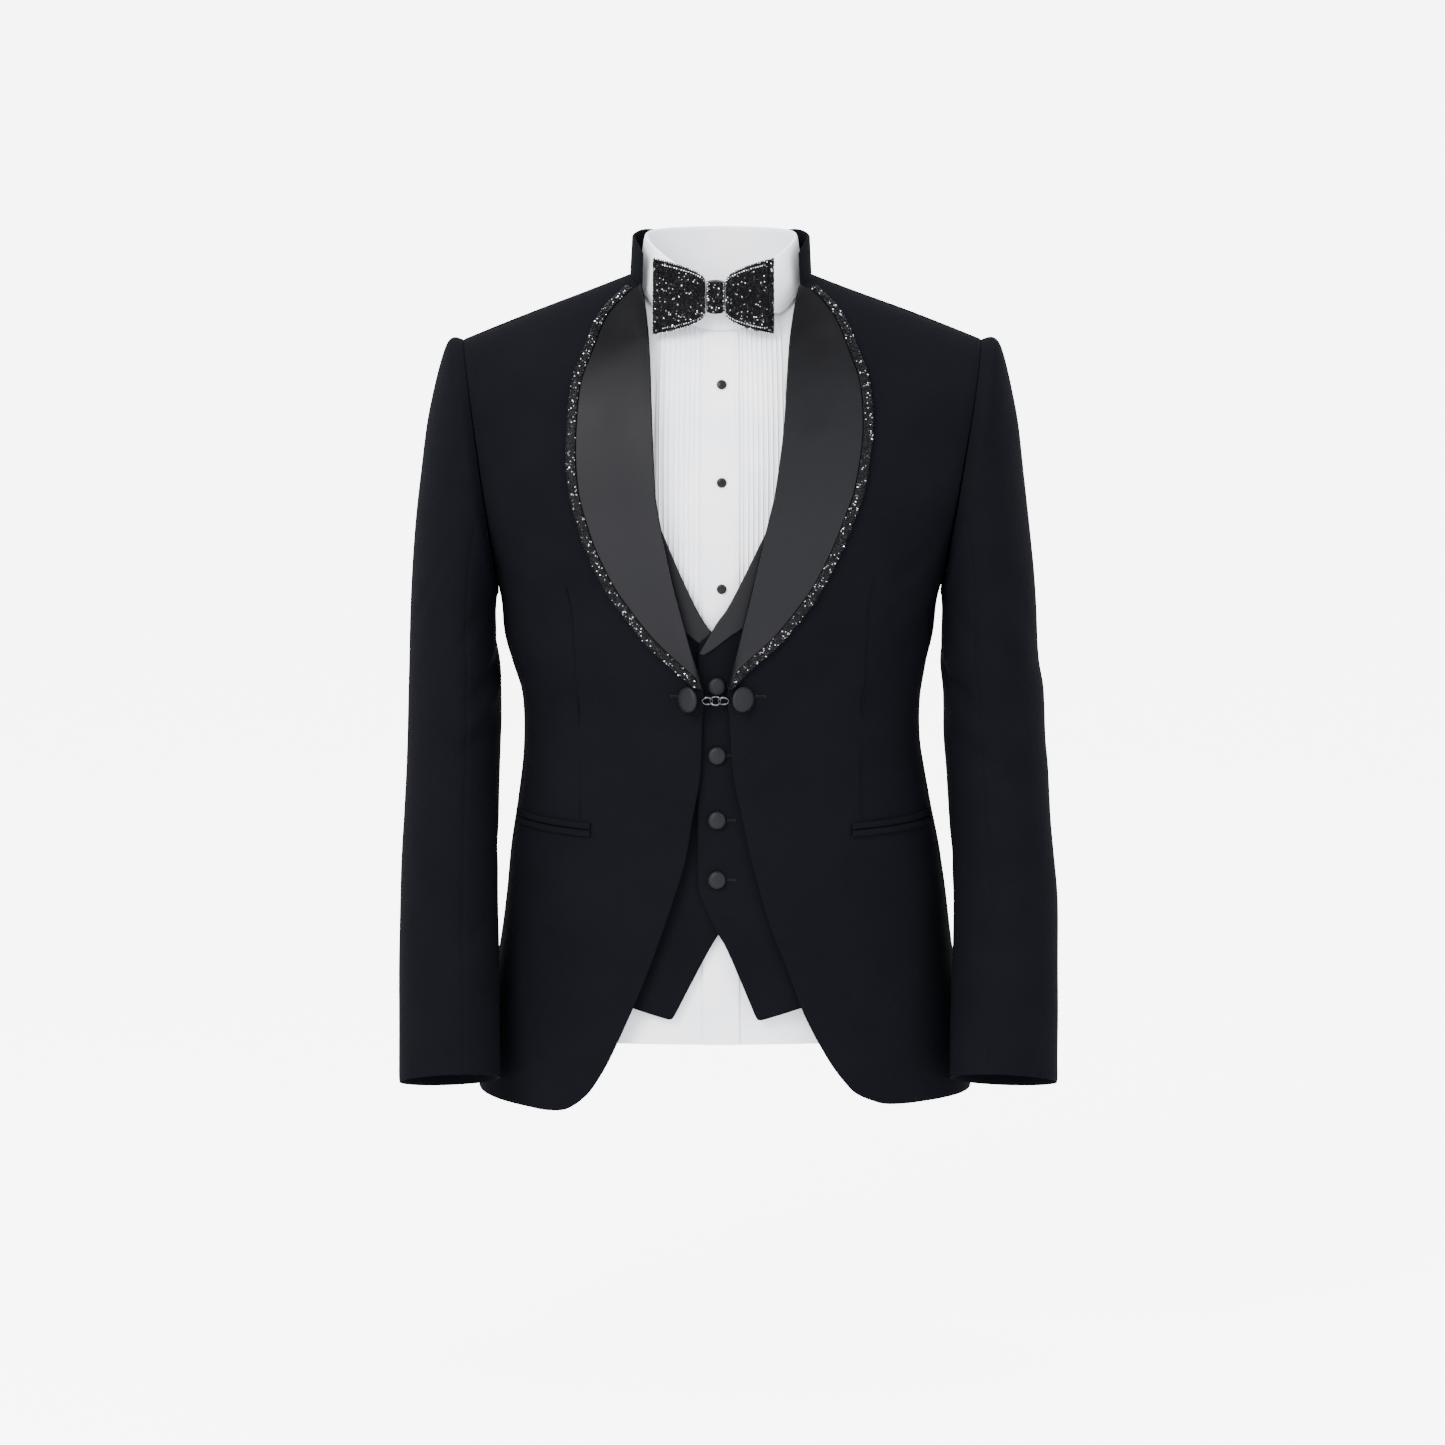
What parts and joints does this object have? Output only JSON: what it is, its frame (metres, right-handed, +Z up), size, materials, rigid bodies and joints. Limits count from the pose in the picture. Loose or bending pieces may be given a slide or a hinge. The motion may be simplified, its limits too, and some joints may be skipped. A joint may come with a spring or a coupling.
{
  "type": "three-piece tuxedo: jacket, waistcoat, dress shirt and bow tie, worn",
  "caption": "Evening jacket with shawl lapels edged in beads, worn over a matching waistcoat, a pin-tucked dress shirt and a beaded bow tie; hollow cloth in its worn pose.",
  "frame": {"origin": "at the base of the neck, in the middle plane, 42 mm below the point where the two shoulder lines would meet, where the wearer holds the garment", "axes": "+Z up along the wearer, -Y towards the front of the garment, +X towards the wearer's left"},
  "size_m": [0.5722, 0.2769, 0.7624],
  "materials": {
    "wool": "smooth midnight worsted, almost black, with a faint nap",
    "satin": "black satin with a soft broad sheen",
    "beads": "dense black and silver glass beads sewn over satin",
    "enamel": "polished black enamel",
    "link_metal": "polished gunmetal wire",
    "cotton": "white cotton poplin"
  },
  "bodies": {
    "root": {"bow_knot": "beads", "bow_wing_left": "beads", "bow_wing_right": "beads", "jacket_back_left": "wool", "jacket_back_right": "wool", "jacket_collar": "wool", "jacket_front_left": "wool", "jacket_front_right": "wool", "jacket_side_left": "wool", "jacket_side_right": "wool", "jacket_sleeve_under_left": "wool", "jacket_sleeve_under_right": "wool", "jacket_sleeve_upper_left": "wool", "jacket_sleeve_upper_right": "wool", "lapel_beads_left": "beads", "lapel_beads_right": "beads", "lapel_left": "satin", "lapel_right": "satin", "link_button_left": "satin", "link_button_right": "satin", "link_ring_left": "link_metal", "link_ring_middle": "link_metal", "link_ring_right": "link_metal", "pocket_welt_lower_left": "wool", "pocket_welt_lower_right": "wool", "pocket_welt_upper_left": "wool", "pocket_welt_upper_right": "wool", "shirt_back": "cotton", "shirt_collar_leaf": "cotton", "shirt_collar_stand": "cotton", "shirt_front_left": "cotton", "shirt_front_right": "cotton", "shirt_placket": "cotton", "shirt_stud_1": "enamel", "shirt_stud_2": "enamel", "shirt_stud_3": "enamel", "shirt_yoke": "cotton", "waistcoat_back_left": "wool", "waistcoat_back_right": "wool", "waistcoat_button_1": "satin", "waistcoat_button_2": "satin", "waistcoat_button_3": "satin", "waistcoat_button_4": "satin", "waistcoat_collar_left": "satin", "waistcoat_collar_right": "satin", "waistcoat_front_left": "wool", "waistcoat_front_right": "wool"}
  },
  "joints": []
}
